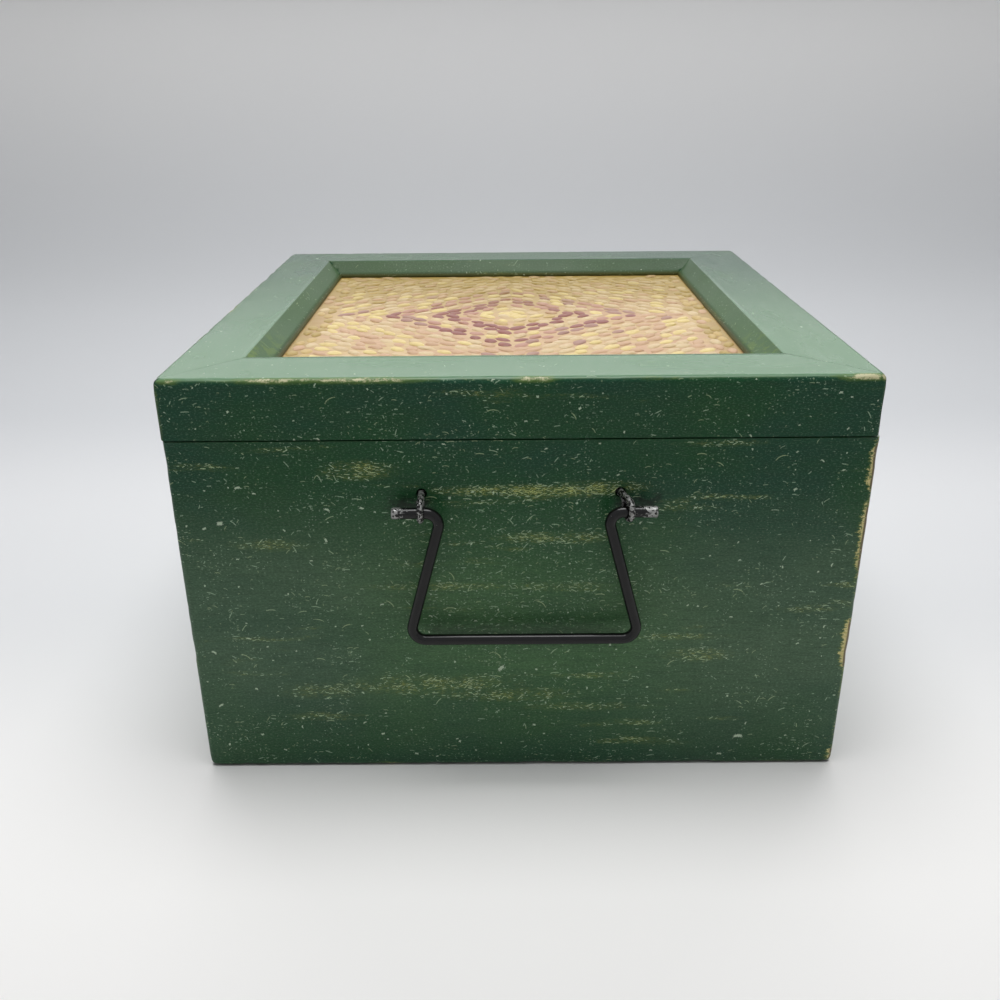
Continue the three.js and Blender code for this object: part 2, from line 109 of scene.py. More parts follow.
def camera():
    forward = Vector((
        math.sin(CAMERA_YAW) * math.cos(CAMERA_PITCH),
        math.cos(CAMERA_YAW) * math.cos(CAMERA_PITCH),
        -math.sin(CAMERA_PITCH),
    ))
    level = Vector((math.cos(CAMERA_YAW), -math.sin(CAMERA_YAW), 0))
    rise = level.cross(forward)
    right = level * math.cos(CAMERA_ROLL) + rise * math.sin(CAMERA_ROLL)
    up = rise * math.cos(CAMERA_ROLL) - level * math.sin(CAMERA_ROLL)
    data = bpy.data.cameras.new("camera")
    data.sensor_fit = "HORIZONTAL"
    data.sensor_width = SENSOR_WIDTH
    data.lens = SENSOR_WIDTH * FOCAL_SHARE
    data.clip_start = 0.01
    data.clip_end = 50
    view = linked("camera", data)
    turn = Matrix((right, up, -forward)).transposed().to_4x4()
    view.matrix_world = Matrix.Translation(CAMERA_PLACE) @ turn
    bpy.context.scene.camera = view


camera()


# Materials. Every place and size in them is in millimetres.

class Shade:
    """A material's or the world's nodes. An input is a socket of another node or a plain value."""

    def __init__(self, owner, shader="Principled BSDF"):
        self.owner = owner
        owner.use_nodes = True
        self.tree = owner.node_tree
        self.shader = self.tree.nodes[shader]

    def node(self, kind, inputs=(), **settings):
        node = self.tree.nodes.new("ShaderNode" + kind)
        for key, value in settings.items():
            setattr(node, key, value)
        for key, value in dict(inputs).items():
            self.feed(node.inputs[key], value)
        return node

    def feed(self, socket, value):
        if isinstance(value, bpy.types.NodeSocket):
            self.tree.links.new(value, socket)
        else:
            socket.default_value = value

    def set(self, **inputs):
        """Feeds the shader's own sockets, named with underscores for spaces."""
        for key, value in inputs.items():
            self.feed(self.shader.inputs[key.replace("_", " ")], value)

    def math(self, operation, *values):
        return self.node("Math", enumerate(values), operation=operation).outputs[0]

    def add(self, first, second):
        return self.math("ADD", first, second)

    def less(self, first, second):
        return self.math("SUBTRACT", first, second)

    def times(self, first, second):
        return self.math("MULTIPLY", first, second)

    def most(self, first, *others):
        for other in others:
            first = self.math("MAXIMUM", first, other)
        return first

    def least(self, first, second):
        return self.math("MINIMUM", first, second)

    def size(self, value):
        return self.math("ABSOLUTE", value)

    def vector(self, operation, *values):
        return self.node("VectorMath", enumerate(values), operation=operation).outputs[0]

    def length(self, vector):
        return self.node("VectorMath", {0: vector}, operation="LENGTH").outputs["Value"]

    def split(self, vector):
        return self.node("SeparateXYZ", {"Vector": vector}).outputs[0:3]

    def join(self, x, y):
        return self.node("CombineXYZ", {"X": x, "Y": y}).outputs[0]

    def smooth(self, value, low, high, to_low=0.0, to_high=1.0):
        """Value turned into to_low..to_high as it goes from low to high, with soft ends."""
        inputs = {"Value": value, "From Min": low, "From Max": high, "To Min": to_low, "To Max": to_high}
        return self.node("MapRange", inputs, interpolation_type="SMOOTHSTEP").outputs[0]

    def blend(self, share, first, second):
        """A colour from first to second."""
        inputs = {0: share, 6: first, 7: second}
        return self.node("Mix", inputs, data_type="RGBA").outputs[2]

    def choose(self, share, first, second):
        """A vector from first to second."""
        inputs = {0: share, 4: first, 5: second}
        return self.node("Mix", inputs, data_type="VECTOR").outputs[1]

    def noise(self, vector, size, detail, roughness, seed, flat=False):
        """Noise from 0 to 1 with features of about the given size, in space or on a flat surface."""
        shifted = self.vector("ADD", vector, (seed * 31, seed * 53, seed * 71))
        inputs = {"Vector": shifted, "Scale": 1 / size, "Detail": detail, "Roughness": roughness}
        kind = "2D" if flat else "3D"
        return self.node("TexNoise", inputs, noise_dimensions=kind).outputs[0]

    def place(self):
        """The place on the object."""
        metres = self.node("TexCoord").outputs["Object"]
        return self.vector("MULTIPLY", metres, (1 / MM, 1 / MM, 1 / MM))

    def facing(self):
        """The surface's direction on the object, as x, y and z."""
        return self.split(self.node("TexCoord").outputs["Normal"])

    def bump(self, height, depth, strength):
        """A surface raised by height times depth, which is in millimetres."""
        inputs = {"Height": height, "Distance": depth * MM, "Strength": strength}
        return self.node("Bump", inputs).outputs[0]


def new_shade(name):
    return Shade(bpy.data.materials.new(name))


FACING = 0.7  # how far a surface's direction lies along an axis that it faces
FAR_SIDE_SHIFT = 610.0
FAR_END_SHIFT = 370.0


def streaky(shade, surface, share, *noise_inputs):
    """Noise drawn out along the grain: the smaller the share, the longer the streaks."""
    return shade.noise(shade.vector("MULTIPLY", surface, (share, 1, 1)), *noise_inputs, flat=True)


def board_surface(shade, place, grain):
    """Flat coordinates on a board's surface, with the first along the grain axis "x" or "y"."""
    x, y, z = shade.split(place)
    normal_x, normal_y, normal_z = shade.facing()
    if grain == "x":
        side, end, flat = shade.join(x, z), shade.join(y, z), shade.join(x, y)
        end_facing, side_facing = normal_x, normal_y
    else:
        side, end, flat = shade.join(y, z), shade.join(x, z), shade.join(y, x)
        end_facing, side_facing = normal_y, normal_x
    on_flat = shade.math("GREATER_THAN", shade.size(normal_z), FACING)
    on_end = shade.math("GREATER_THAN", shade.size(end_facing), FACING)
    surface = shade.choose(on_end, shade.choose(on_flat, side, flat), end)
    # Each side of a board gets its own stretch of the pattern.
    far_side = shade.math("GREATER_THAN", side_facing, 0.5)
    far_end = shade.math("GREATER_THAN", end_facing, 0.5)
    shift = shade.add(shade.times(far_side, FAR_SIDE_SHIFT), shade.times(far_end, FAR_END_SHIFT))
    return shade.vector("ADD", surface, shade.join(shift, shift))


def strokes(shade, surface, ragged, cell, length, width, chance, seed, lean=1.0):
    """How much of a short bent stroke of paint is here, at most one to a cell, and its random share.

    A lean of 1 lets strokes lie in any direction, and a smaller one keeps them near the grain's.
    """
    shifted = shade.vector("ADD", surface, (seed * 97, seed * 61, 0))
    scaled = shade.vector("MULTIPLY", shifted, (1 / cell, 1 / cell, 1 / cell))
    inputs = {"Vector": scaled, "Scale": 1.0}
    voronoi = shade.node("TexVoronoi", inputs, voronoi_dimensions="2D")
    pick, turn, random_share = shade.split(voronoi.outputs["Color"])
    offset = shade.vector("SUBTRACT", scaled, voronoi.outputs["Position"])
    swing = shade.less(shade.times(turn, 2.0), 1.0)
    angle = shade.times(shade.times(swing, shade.size(swing)), lean * math.pi / 2)
    inputs = {"Vector": offset, "Angle": angle}
    turned = shade.node("VectorRotate", inputs, rotation_type="Z_AXIS")
    along, across, _ = shade.split(turned.outputs[0])
    bow = shade.times(shade.less(random_share, 0.5), 0.5 * cell / length)
    bent = shade.add(across, shade.times(bow, shade.times(along, along)))
    reach = shade.times(shade.add(shade.times(random_share, random_share), 0.35), length / cell / 1.6)
    end = shade.math("DIVIDE", shade.size(along), reach)
    side = shade.math("DIVIDE", shade.size(bent), width / cell / 2)
    edge = shade.add(shade.most(end, side), ragged)
    inside = shade.smooth(edge, 1.1, 1.6, 1.0, 0.0)
    return shade.times(inside, shade.math("LESS_THAN", pick, chance)), random_share


# Green paint: brushed on, dry-brushed, spattered and rubbed

GREEN_DEEP = srgb(8, 73, 34)
GREEN_BLUE = srgb(7, 68, 45)
GREEN_OLIVE = srgb(26, 72, 30)
GREEN_DARK = srgb(12, 46, 26)
GREEN_HANDLED_AND_LIT = srgb(84, 124, 77)
GREEN_HANDLED_AND_LIT_GREY = srgb(89, 117, 89)
GREEN_FADED_AND_SHEEN = srgb(88, 130, 93)
OLIVE_WASH = srgb(104, 122, 52)
DRY_BRUSH = srgb(206, 208, 104)
FLECK_PALE = srgb(182, 210, 178)
FLECK_STRAW = srgb(196, 208, 132)
SPOT_WHITE = srgb(212, 230, 202)
THIN_PAINT = srgb(104, 128, 56)
BARE_WOOD = srgb(234, 222, 164)
WORN_OCHRE = srgb(200, 190, 118)
CREST_DIRT_AND_SHADE = srgb(66, 46, 28)
FOOT_CONTACT_SHADE = srgb(74, 50, 28)
CREVICE_DIRT = srgb(92, 84, 34)
# The black of the handle's grime and of its painted shadow on the wall
GRIME_AND_SHADOW = srgb(3, 9, 4)
OLIVE_BEVEL_SHADE = srgb(66, 84, 44)
EDGE_CREAM_AND_HIGHLIGHT = srgb(196, 192, 152)

# Where a dry brush touched the front end: across and up from its middle bottom, half the band's
# length, half its height and its strength.
DRY_BRUSH_BANDS = (
    (4, 103, 32, 2.2, 1.0),
    (24, 103.6, 16, 2.6, 0.9),
    (-49, 110, 12, 3.4, 0.8),
    (11, 87, 20, 2.4, 0.6),
    (-78, 85, 13, 2.2, 0.45),
    (-25, 70, 26, 1.6, 0.42),
    (12, 70, 18, 1.6, 0.38),
    (48, 97, 14, 1.6, 0.25),
    (60, 118, 16, 1.2, 0.3),
    (48, 51, 22, 1.4, 0.4),
    (58, 44, 12, 2.6, 0.6),
    (-30, 33, 32, 4.4, 0.5),
    (-4, 29, 26, 3, 0.5),
    (-66, 31, 16, 3.4, 0.35),
    (22, 24, 26, 2, 0.3),
)

# Where spatter lies thickest on the front end, in the same terms.
SPATTER_ZONES = (
    (0, 78.0, 52, 34, 0.9),
    (-62, 129.0, 52, 12, 0.4),
)

# Where the front handle has blackened the wall, in the same terms: partly black grime from the wire, and
# partly painted shadow of its bar and pins on the wall.
HANDLE_GRIME_AND_SHADOWS = (
    (-2, 52.6, 27, 2.0, 0.5),
    (16, 51.4, 15, 2.4, 0.4),
    (-34, 98.4, 5.5, 1.5, 0.8),
    (36, 98.4, 5.5, 1.5, 0.8),
)

# Where the front edge at the hinge side is rubbed: its height, half its length and its depth.
RUBBED_EDGE = ((110, 9, 1.3), (86, 15, 1.1), (48, 10, 1.7), (3, 4, 0.9))

# Where the lid's front edge is rubbed: across, half its length and its depth.
RUBBED_LID = ((-57, 34, 0.15), (4, 7, 0.2), (101, 6, 0.4), (-104, 5, 0.0))


def brushed_green(shade, surface, height_above):
    """The coat itself, in streaks along the grain, and lighter at the middle of the walls: partly handling
    wear, and partly painted light from the floor below.
    """
    broad = streaky(shade, surface, 0.35, 26, 3.0, 0.6, 1.3)
    tint = shade.noise(surface, 48, 2.0, 0.5, 4.1, flat=True)
    outward = shade.size(shade.split(surface)[0])
    streaks = streaky(shade, surface, 0.09, 1.0, 3.0, 0.65, 2.4)
    lines = streaky(shade, surface, 0.1, 0.4, 2.0, 0.6, 5.2)
    mottled = streaky(shade, surface, 0.5, 0.42, 2.0, 0.7, 6.8)
    # Painted light: the walls are lighter between the foot and the top, partly as handling wear.
    from_foot = shade.smooth(height_above, -10, 50, 0.2, 1.0)
    to_top = shade.smooth(height_above, 64, 112, 1.0, 0.0)
    middle = shade.times(from_foot, to_top)
    handled_and_lit = shade.times(middle, shade.smooth(broad, 0.2, 0.7, 0.55, 1.0))
    colour = shade.blend(shade.smooth(tint, 0.38, 0.62), GREEN_DEEP, GREEN_BLUE)
    colour = shade.blend(shade.smooth(broad, 0.42, 0.7, 0.0, 0.45), colour, GREEN_OLIVE)
    light = shade.blend(shade.smooth(outward, 20, 70), GREEN_HANDLED_AND_LIT, GREEN_HANDLED_AND_LIT_GREY)
    colour = shade.blend(shade.times(handled_and_lit, 0.8), colour, light)
    for pattern, high, most in ((streaks, 0.58, 0.22), (lines, 0.55, 0.24), (mottled, 0.5, 0.3)):
        colour = shade.blend(shade.smooth(pattern, 0.3, high, most, 0.0), colour, GREEN_DARK)
    colour = shade.blend(shade.smooth(mottled, 0.52, 0.75, 0.0, 0.12), colour, FLECK_PALE)
    return colour, broad, lines


def zones(shade, surface, table, full, none):
    """How strongly a table's zones act here: at full strength up to one reach, and not past another."""
    mask = 0.0
    for across, up, half_length, half_height, strength in table:
        offset = shade.vector("SUBTRACT", surface, (across, up, 0))
        reach = shade.length(shade.vector("MULTIPLY", offset, (1 / half_length, 1 / half_height, 0)))
        mask = shade.most(mask, shade.smooth(reach, full, none, strength, 0.0))
    return mask


def blackened_and_shaded(shade, surface, table):
    """How much black a handle's wire has left behind it, with a frayed edge: partly grime, and partly
    painted shadow of the wire.
    """
    fray = 9.0  # in millimetres, over the whole range of the noise
    frayed = shade.times(shade.less(streaky(shade, surface, 0.4, 1.2, 3.0, 0.7, 5.9), 0.5), fray)
    first, second, _ = shade.split(surface)
    mask = 0.0
    for across, up, half_length, half_height, strength in table:
        beside = shade.less(shade.size(shade.less(first, across)), half_length)
        above = shade.less(shade.size(shade.less(second, up)), half_height)
        outside = shade.add(shade.most(beside, above), frayed)
        mask = shade.most(mask, shade.smooth(outside, -2.2, 3.0, strength, 0.0))
    return mask


def dry_brush(shade, surface, bands):
    """How strongly a dry brush touched each place, from 0 to 1."""
    stray = streaky(shade, surface, 0.12, 8, 3.0, 0.6, 7.7)
    mask = shade.most(shade.smooth(stray, 0.62, 0.79, 0.0, 0.5), zones(shade, surface, bands, 0.15, 1.25))
    patches = streaky(shade, surface, 0.5, 4.5, 3.0, 0.65, 2.2)
    return shade.times(mask, shade.smooth(patches, 0.3, 0.62, 0.25, 1.0))


def flecks(shade, surface, colour, height, density, band, quiet):
    """Hair-thin brush strokes where the brush was dry, and flecks and spots of paint all over."""
    ragged = shade.times(shade.less(shade.noise(surface, 0.42, 2.0, 0.6, 0.9, flat=True), 0.5), 2.2)
    thick = shade.times(shade.most(density, shade.times(band, 0.7)), quiet)
    layers = (
        # cell, length, width, chance, seed, strength, lean, height
        (0.8, 1.1, 0.14, shade.times(band, 0.85), 0.31, 0.8, 0.4, 0.0),
        (1.5, 2.2, 0.17, shade.times(band, 0.8), 0.53, 0.85, 0.55, 0.0),
        (1.1, 0.32, 0.22, shade.times(thick, 0.4), 0.29, 0.32, 1.0, 0.0),
        (2.1, 0.8, 0.17, shade.times(thick, 0.4), 0.71, 0.5, 0.75, 0.3),
        (4.8, 1.5, 0.2, shade.times(thick, 0.5), 0.83, 0.62, 0.85, 0.5),
    )
    for cell, length, width, chance, seed, strength, lean, rise in layers:
        stroke, share = strokes(shade, surface, ragged, cell, length, width, chance, seed, lean)
        warm = shade.most(shade.smooth(share, 0.7, 1.0, 0.0, 0.5), band)
        fleck = shade.blend(warm, FLECK_PALE, FLECK_STRAW)
        colour = shade.blend(shade.times(stroke, strength), colour, fleck)
        if rise:
            height = shade.add(height, shade.times(stroke, rise))
    spots = ((7.5, 0.3, 0.3, 0.47), (13, 0.46, 0.24, 0.91), (41, 0.8, 0.2, 0.13))
    for cell, size, chance, seed in spots:
        spot, _ = strokes(shade, surface, ragged, cell, size * 1.7, size, shade.times(quiet, chance), seed)
        colour = shade.blend(shade.times(spot, 0.76), colour, SPOT_WHITE)
        height = shade.add(height, spot)
    return colour, height


CREST = 1.1  # what the distances to an edge's two faces add up to on the middle of its rounding
UNRUBBED = -0.6


def rubbed(shade, first, second, depth):
    """How far inside an edge's rubbed part a place is, from its distances to the edge's two faces."""
    return shade.less(depth, shade.less(shade.add(first, second), CREST))


def humps(shade, value, table):
    """The depth that a table of places, half lengths and depths gives along an edge."""
    depth = UNRUBBED
    for middle, half_length, most in table:
        away = shade.size(shade.less(value, middle))
        hump = shade.smooth(away, half_length * 0.5, half_length * 1.15, most, UNRUBBED)
        depth = shade.most(depth, hump)
    return depth


def edge_wear(shade, place, grain):
    """How far inside the rubbed part of the outer edges a place is: bare above 0, thin just below it."""
    x, y, z = shade.split(place)
    side = shade.less(HALF_WIDTH, shade.size(x))
    end = shade.less(HALF_LENGTH, shade.size(y))
    nearest = shade.least(side, end)
    above = shade.less(LID_TOP, z)
    drawn_out = shade.vector("MULTIPLY", place, (0.3, 1, 1) if grain == "x" else (1, 0.3, 1))
    ragged = shade.less(shade.noise(drawn_out, 0.9, 3.0, 0.7, 3.1), 0.5)
    patch = shade.noise(place, 30, 2.0, 0.5, 8.4)
    teeth = shade.times(ragged, 5.6)

    usual = shade.add(shade.smooth(patch, 0.48, 0.76, -0.8, 0.4), shade.times(ragged, 1.6))
    wear = shade.most(
        rubbed(shade, side, end, usual),
        rubbed(shade, nearest, above, usual),
        rubbed(shade, nearest, z, usual),
    )
    front = shade.add(y, HALF_LENGTH)
    hinge_side = shade.less(HALF_WIDTH, x)
    heavy = shade.add(humps(shade, z, RUBBED_EDGE), teeth)
    wear = shade.most(wear, rubbed(shade, hinge_side, front, heavy))
    along_lid = shade.add(humps(shade, x, RUBBED_LID), ragged)
    wear = shade.most(wear, rubbed(shade, front, above, along_lid))
    corner = shade.add(shade.add(hinge_side, front), shade.less(above, shade.times(ragged, 2.0)))
    return shade.most(wear, shade.less(3.6, corner))


def rubbed_colour(shade, place, colour, wear, hairs):
    """Paint that thins to yellow-green at a rubbed edge, with patchy bare wood, darkened on its crest:
    partly dirt, and partly painted shade where the edge turns away.
    """
    grit = shade.noise(place, 0.6, 3.0, 0.7, 6.4)
    colour = shade.blend(shade.smooth(wear, -0.9, 0.1, 0.0, 0.6), colour, THIN_PAINT)
    wood = shade.blend(shade.smooth(hairs, 0.35, 0.65), WORN_OCHRE, BARE_WOOD)
    # The crest of a worn edge is darkened: partly dirt, and partly painted shade.
    normal_x, normal_y, _ = shade.facing()
    crest = shade.smooth(shade.least(shade.size(normal_x), shade.size(normal_y)), 0.2, 0.4, 0.0, 0.85)
    wood = shade.blend(shade.times(shade.smooth(wear, 0.1, 0.5), crest), wood, CREST_DIRT_AND_SHADE)
    # The lid's upper edges are worn smooth, and their bare wood is pale and less patchy there: partly wear,
    # and partly a painted highlight along the edge.
    above = shade.less(LID_TOP, shade.split(place)[2])
    wood = shade.blend(shade.smooth(above, 1.5, 3.0, 1.0, 0.0), wood, EDGE_CREAM_AND_HIGHLIGHT)
    holes = shade.smooth(above, 1.5, 3.0, 0.3, 1.0)
    patchy = shade.add(wear, shade.times(holes, shade.smooth(grit, 0.38, 0.56, -0.6, 0.1)))
    return shade.blend(shade.smooth(patchy, -0.15, 0.2), colour, wood)


def inside_box(shade, place, surface):
    """1 on the bare inner faces of the walls, below where the paint laps over their rim."""
    x, y, z = shade.split(place)
    inner = shade.least(shade.less(HALF_WIDTH, shade.size(x)), shade.less(HALF_LENGTH, shade.size(y)))
    lap = shade.smooth(streaky(shade, surface, 0.6, 9, 3.0, 0.6, 3.3), 0.3, 0.7, 0.4, 3.6)
    below = shade.less(shade.less(BODY_TOP, z), lap)
    within = shade.smooth(inner, WALL_THICKNESS - 0.4, WALL_THICKNESS - 0.1)
    return shade.times(within, shade.smooth(below, 0.0, 0.3))


def lid_bevels(shade, surface, colour, place):
    """The lid's bevels, dirty, darkened with painted shade, and rubbed. Gives the colour, and how much of a
    bevel is here.
    """
    x, y, z = shade.split(place)
    # Dirt and old varnish in the corner between the bevel and the picture
    out = shade.least(shade.less(HALF_WIDTH, shade.size(x)), shade.less(HALF_LENGTH, shade.size(y)))
    low = shade.smooth(z, LID_TOP - 5.6, LID_TOP - 4.4, 0.6, 0.0)
    colour = shade.blend(shade.times(shade.smooth(out, 20, 24), low), colour, CREVICE_DIRT)
    # They are dull and painted a darker olive, as painted shade, and rubbed near the front corners, where
    # the lid is picked up.
    slope = shade.facing()[2]
    bevel = shade.times(shade.smooth(slope, 0.5, 0.65), shade.smooth(slope, 0.82, 0.95, 1.0, 0.0))
    bevel = shade.times(bevel, shade.smooth(out, 10, 12))
    colour = shade.blend(shade.times(bevel, 0.5), colour, OLIVE_BEVEL_SHADE)
    scuffed = shade.times(bevel, shade.smooth(y, -84, -30, 1.0, 0.0))
    scuffs = shade.smooth(shade.noise(surface, 5, 4.0, 0.7, 4.7, flat=True), 0.5, 0.62, 0.0, 0.7)
    return shade.blend(shade.times(scuffed, scuffs), colour, THIN_PAINT), bevel


def green_paint(name, grain, bands=(), spatter=(), grime_and_shadows=()):
    """The paint on boards whose grain runs along an axis, with what the tables put on it."""
    shade = new_shade(name)
    place = shade.place()
    surface = board_surface(shade, place, grain)
    _, y, z = shade.split(place)
    upward = shade.smooth(shade.facing()[2], 0.5, 0.9)
    colour, broad, lines = brushed_green(shade, surface, z)
    # Up-facing faces are paler towards the front: partly fading, and partly a painted sheen.
    faded_and_sheen = shade.times(upward, shade.smooth(y, -HALF_LENGTH, HALF_LENGTH, 0.8, 0.0))
    colour = shade.blend(faded_and_sheen, colour, GREEN_FADED_AND_SHEEN)

    band = dry_brush(shade, surface, bands)
    band = shade.times(band, shade.less(1.0, upward))
    hairs = streaky(shade, surface, 0.16, 0.3, 2.0, 0.6, 5.5)
    colour = shade.blend(shade.times(band, 0.4), colour, OLIVE_WASH)
    colour = shade.blend(shade.times(band, shade.smooth(hairs, 0.5, 0.7, 0.0, 0.7)), colour, DRY_BRUSH)

    clusters = shade.noise(surface, 17, 3.0, 0.6, 6.6, flat=True)
    density = shade.smooth(clusters, 0.42, 0.7, 0.1, 1.0)
    density = shade.most(density, zones(shade, surface, spatter, 0.5, 1.2))
    quiet = shade.less(1.0, shade.times(upward, 0.8))
    relief = shade.times(lines, 0.25)
    colour, relief = flecks(shade, surface, colour, relief, density, band, quiet)

    colour, bevel = lid_bevels(shade, surface, colour, place)
    # Black grime and painted shadow where the handle's bar and pins hang close to the wall.
    colour = shade.blend(blackened_and_shaded(shade, surface, grime_and_shadows), colour, GRIME_AND_SHADOW)

    wear = edge_wear(shade, place, grain)
    colour = rubbed_colour(shade, place, colour, wear, hairs)
    # Painted contact shade: the paint darkens to brown in the last 0.9 mm above the foot.
    colour = shade.blend(shade.smooth(z, 0.0, 0.9, 0.7, 0.0), colour, FOOT_CONTACT_SHADE)

    bare = inside_box(shade, place, surface)
    colour = shade.blend(bare, colour, wood_grain(shade, surface))
    # The lid's flat top is polished by hands, and its bevels are dull.
    dull = shade.times(bevel, 0.22)
    rough = shade.less(shade.smooth(broad, 0.3, 0.7, 0.34, 0.42), shade.times(upward, 0.12))
    shade.set(
        Base_Color=colour,
        Roughness=shade.add(shade.add(rough, dull), shade.times(bare, 0.3)),
        Normal=shade.bump(shade.less(relief, shade.smooth(wear, -0.15, 0.15)), 0.12, 0.7),
        Specular_IOR_Level=0.26,
    )
    return shade.owner


# Other finishes

WOOD_PALE = srgb(222, 192, 144)
WOOD_WARM = srgb(190, 148, 96)
WOOD_LINE = srgb(150, 106, 62)
RINGS = 60.0  # how fast the growth rings follow on each other
HARDBOARD_DARK = srgb(124, 88, 54)
HARDBOARD_PALE = srgb(168, 126, 82)
HARDBOARD_STAIN = srgb(108, 76, 46)
WIRE_BLACK = srgb(11, 11, 12)
WIRE_CHIP = srgb(152, 152, 150)
BRASS_PALE = srgb(186, 150, 84)
BRASS_DARK = srgb(110, 84, 46)
STEEL_PALE = srgb(176, 176, 174)
STEEL_DARK = srgb(112, 110, 106)


def wood_grain(shade, surface):
    """Softwood with growth rings that run along the grain."""
    wander = streaky(shade, surface, 0.04, 9, 2.0, 0.5, 9.1)
    rings = shade.math("SINE", shade.times(wander, RINGS))
    fibres = streaky(shade, surface, 0.03, 0.5, 2.0, 0.6, 1.9)
    colour = shade.blend(shade.smooth(rings, -0.2, 1.0), WOOD_PALE, WOOD_WARM)
    colour = shade.blend(shade.smooth(rings, 0.75, 1.0, 0.0, 0.35), colour, WOOD_LINE)
    return shade.blend(shade.smooth(fibres, 0.35, 0.6, 0.3, 0.0), colour, WOOD_LINE)


def bare_board(name, grain):
    shade = new_shade(name)
    surface = board_surface(shade, shade.place(), grain)
    fibres = streaky(shade, surface, 0.04, 0.6, 3.0, 0.6, 4.4)
    shade.set(
        Base_Color=wood_grain(shade, surface),
        Roughness=shade.smooth(fibres, 0.3, 0.7, 0.6, 0.8),
        Normal=shade.bump(fibres, 0.08, 0.6),
    )
    return shade.owner


def hardboard(name):
    """Pressed brown board with a fine fleck."""
    shade = new_shade(name)
    place = shade.place()
    fibres = shade.noise(place, 0.7, 4.0, 0.7, 2.6)
    stains = shade.noise(place, 28, 2.0, 0.5, 5.8)
    colour = shade.blend(shade.smooth(fibres, 0.3, 0.7), HARDBOARD_DARK, HARDBOARD_PALE)
    shade.set(
        Base_Color=shade.blend(shade.smooth(stains, 0.45, 0.7, 0.0, 0.4), colour, HARDBOARD_STAIN),
        Roughness=shade.smooth(fibres, 0.3, 0.7, 0.62, 0.8),
        Normal=shade.bump(fibres, 0.08, 0.7),
    )
    return shade.owner


def black_wire(name, chipped):
    """Glossy black paint on wire, chipped to grey metal all over or only at the handle's tips."""
    shade = new_shade(name)
    place = shade.place()
    x, _, z = shade.split(place)
    rough = shade.noise(place, 0.9, 3.0, 0.65, 1.2)
    fine = shade.noise(place, 0.35, 2.0, 0.6, 2.9)
    if chipped:
        worn = 0.53
    else:
        outward = shade.size(shade.less(shade.size(x), HANDLE_SHIFT))
        tip = shade.smooth(outward, TIP_REACH - 8, TIP_REACH - 2, 0.75, 0.45)
        worn = shade.add(tip, shade.smooth(z, PIVOT_HEIGHT - 6, PIVOT_HEIGHT - 12, 0.0, 0.4))
    chip = shade.smooth(shade.less(shade.add(rough, shade.times(fine, 0.15)), worn), 0.04, 0.09)
    shade.set(
        Base_Color=shade.blend(chip, WIRE_BLACK, WIRE_CHIP),
        Roughness=shade.add(shade.smooth(fine, 0.3, 0.7, 0.14, 0.22), shade.times(chip, 0.24)),
        Metallic=shade.times(chip, 0.6),
        Specular_IOR_Level=0.3,
        Normal=shade.bump(shade.less(shade.times(fine, 0.3), chip), 0.05, 0.6),
    )
    return shade.owner


def metal(name, pale, dark, roughness):
    """Metal with a tarnish that lies in patches."""
    shade = new_shade(name)
    place = shade.place()
    patch = shade.noise(place, 1.8, 4.0, 0.65, 0.0)
    brushed = shade.noise(shade.vector("MULTIPLY", place, (1, 0.1, 1)), 0.25, 2.0, 0.5, 3.0)
    shade.set(
        Base_Color=shade.blend(shade.smooth(patch, 0.35, 0.62), pale, dark),
        Roughness=shade.smooth(patch, 0.3, 0.7, roughness, roughness + 0.2),
        Metallic=1.0,
        Normal=shade.bump(brushed, 0.02, 0.5),
    )
    return shade.owner


# Picture paint

GROUND_ROSE = srgb(188, 152, 122)
GROUND_CREAM = srgb(194, 168, 122)
GROUND_OCHRE = srgb(146, 123, 52)
GROUND_STREAK = srgb(160, 126, 78)
BORDER_MIDDLE = (-1.8, 1.3)


def picture_ground(name):
    """The picture's ground, rosy cream at the front and ochre towards the rear and the edges."""
    shade = new_shade(name)
    place = shade.place()
    x, y, _ = shade.split(place)
    middle = shade.noise(place, 16, 3.0, 0.6, 1.7)
    streaks = shade.noise(shade.vector("MULTIPLY", place, (0.3, 1, 1)), 2.2, 3.0, 0.6, 3.4)
    rear = shade.smooth(y, -20, 62)
    off_middle = [shade.size(shade.less(*pair)) for pair in zip((x, y), BORDER_MIDDLE)]
    border = shade.smooth(shade.most(*off_middle), 66, 77, 0.0, 0.7)
    colour = shade.blend(shade.smooth(middle, 0.36, 0.62), GROUND_ROSE, GROUND_CREAM)
    colour = shade.blend(shade.most(rear, border), colour, GROUND_OCHRE)
    colour = shade.blend(shade.smooth(streaks, 0.3, 0.6, 0.35, 0.0), colour, GROUND_STREAK)
    shade.set(
        Base_Color=colour,
        Roughness=0.55,
        Normal=shade.bump(streaks, 0.15, 0.7),
    )
    return shade.owner


def dab_paint(name, colour, streak):
    """One colour of the picture's dabs, with the streaks that a brush leaves."""
    shade = new_shade(name)
    place = shade.place()
    bristles = shade.noise(shade.vector("MULTIPLY", place, (0.5, 1, 1)), 0.9, 3.0, 0.6, 2.1)
    patch = shade.noise(place, 7, 2.0, 0.5, 6.1)
    patchy = shade.smooth(patch, 0.4, 0.65, 0.0, 0.35)
    streaked = shade.blend(shade.add(shade.smooth(bristles, 0.35, 0.65, 0.0, 0.4), patchy), colour, streak)
    rear = shade.smooth(shade.split(place)[1], -10, 70, 0.0, 0.66)
    shade.set(
        Base_Color=shade.blend(rear, streaked, GROUND_OCHRE),
        Roughness=shade.smooth(bristles, 0.3, 0.7, 0.42, 0.56),
        Normal=shade.bump(bristles, 0.1, 0.7),
    )
    return shade.owner


